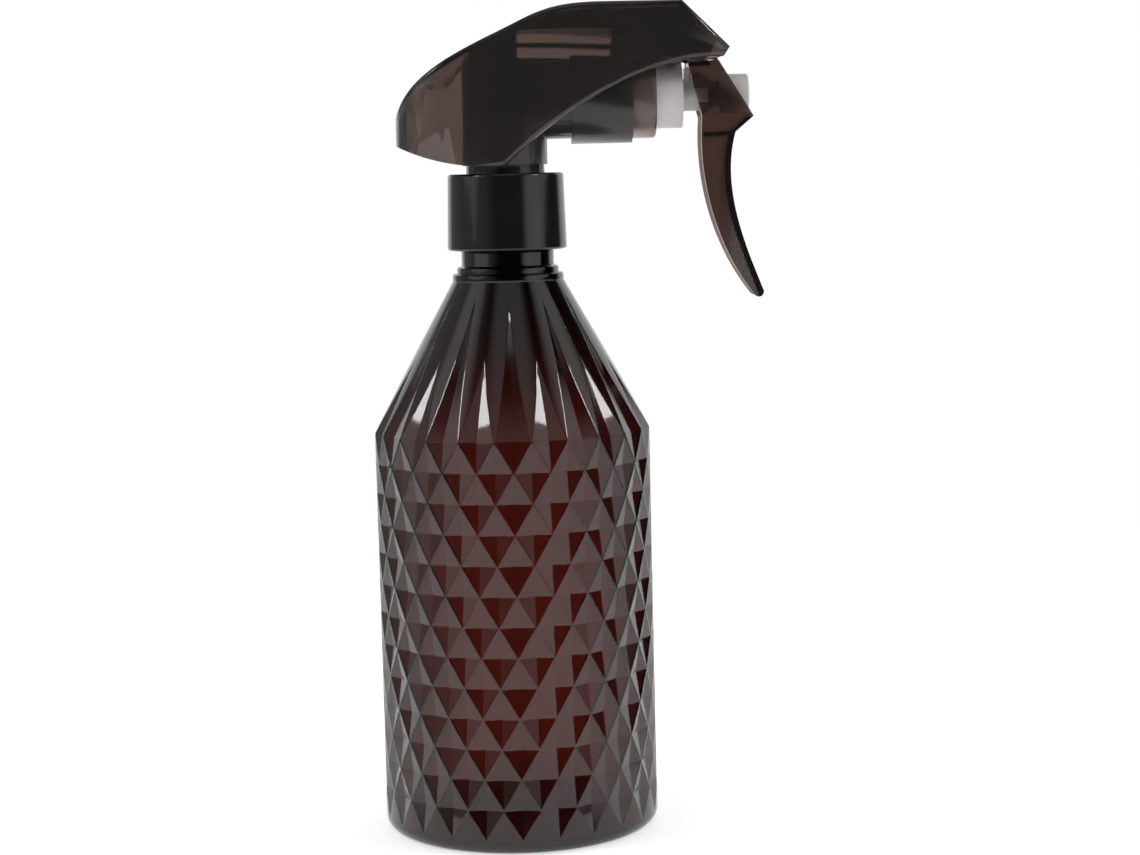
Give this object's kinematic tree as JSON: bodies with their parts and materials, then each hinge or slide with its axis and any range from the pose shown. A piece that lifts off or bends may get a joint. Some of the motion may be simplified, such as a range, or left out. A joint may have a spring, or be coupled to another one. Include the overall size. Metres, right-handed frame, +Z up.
{
  "type": "trigger spray bottle",
  "caption": "Faceted amber bottle with a screw collar and a fine-mist trigger sprayer whose piston and nozzle move with the trigger.",
  "frame": {"origin": "on the bottle's axis, in the plane that the bottle stands on", "axes": "+Z up the bottle's axis, +X forwards, the way the nozzle and the trigger point, and Y across"},
  "size_m": [0.1076, 0.076, 0.2261],
  "materials": {
    "amber_bottle": "clear tinted PET, glossy",
    "black_collar": "glossy moulded polypropylene",
    "smoke_shroud": "dark smoke-brown translucent plastic, glossy",
    "smoke_body": "dark brown moulded plastic",
    "smoke_cap": "smoke-brown translucent plastic",
    "smoke_trigger": "satin-glossy moulded plastic",
    "white_piston": "natural white polyethylene",
    "smoke_nozzle": "glossy moulded plastic",
    "natural_tube": "natural polyethylene tube",
    "seal_rubber": "soft natural elastomer",
    "spring_steel": "drawn stainless wire",
    "steel_ball": "polished stainless ball"
  },
  "bodies": {
    "bottle": {"bottle": "amber_bottle"},
    "lift": {"gasket": "seal_rubber"},
    "collar": {"collar": "black_collar"},
    "sprayer": {"pump_body": "smoke_body", "cylinder_cap": "smoke_cap", "shroud": "smoke_shroud", "pivot_pin": "smoke_body", "valve_seat": "natural_tube", "inlet_ball": "steel_ball", "dip_tube": "natural_tube", "return_spring": "spring_steel"},
    "trigger": {"trigger": "smoke_trigger"},
    "piston": {"piston": "white_piston", "piston_seal": "seal_rubber", "vent_seal": "seal_rubber", "outlet_ball": "steel_ball", "outlet_spring": "spring_steel", "stem": "smoke_nozzle", "swirl_core": "natural_tube", "nozzle_cap": "smoke_nozzle"}
  },
  "joints": [
    {"name": "head_rise", "type": "slide", "parent": "bottle", "child": "lift", "axis": [0, 0, 1], "range_m": [0, 0.00635]},
    {"name": "collar_turn", "type": "hinge", "parent": "lift", "child": "collar", "pos_m": [0, 0, 0.17], "axis": [0, 0, 1], "range_deg": [0, 541]},
    {"name": "head_swivel", "type": "hinge", "parent": "lift", "child": "sprayer", "pos_m": [0, 0, 0.18], "axis": [0, 0, 1], "continuous": true},
    {"name": "trigger_squeeze", "type": "hinge", "parent": "sprayer", "child": "trigger", "pos_m": [0.052, 0, 0.21401], "axis": [0, 1, 0], "range_deg": [0, 22], "stiffness_Nm_per_rad": 0.3, "springref_deg": -17.19},
    {"name": "piston_stroke", "type": "slide", "parent": "sprayer", "child": "piston", "axis": [-1, 0, 0], "range_m": [0, 0.00513], "deforming": ["return_spring"]}
  ],
  "couplings": [
    {"joint": "collar_turn", "follows": "head_rise", "rad_per_m": 1484.2},
    {"joint": "piston_stroke", "follows": "trigger_squeeze", "m_per_rad": 0.01333}
  ]
}
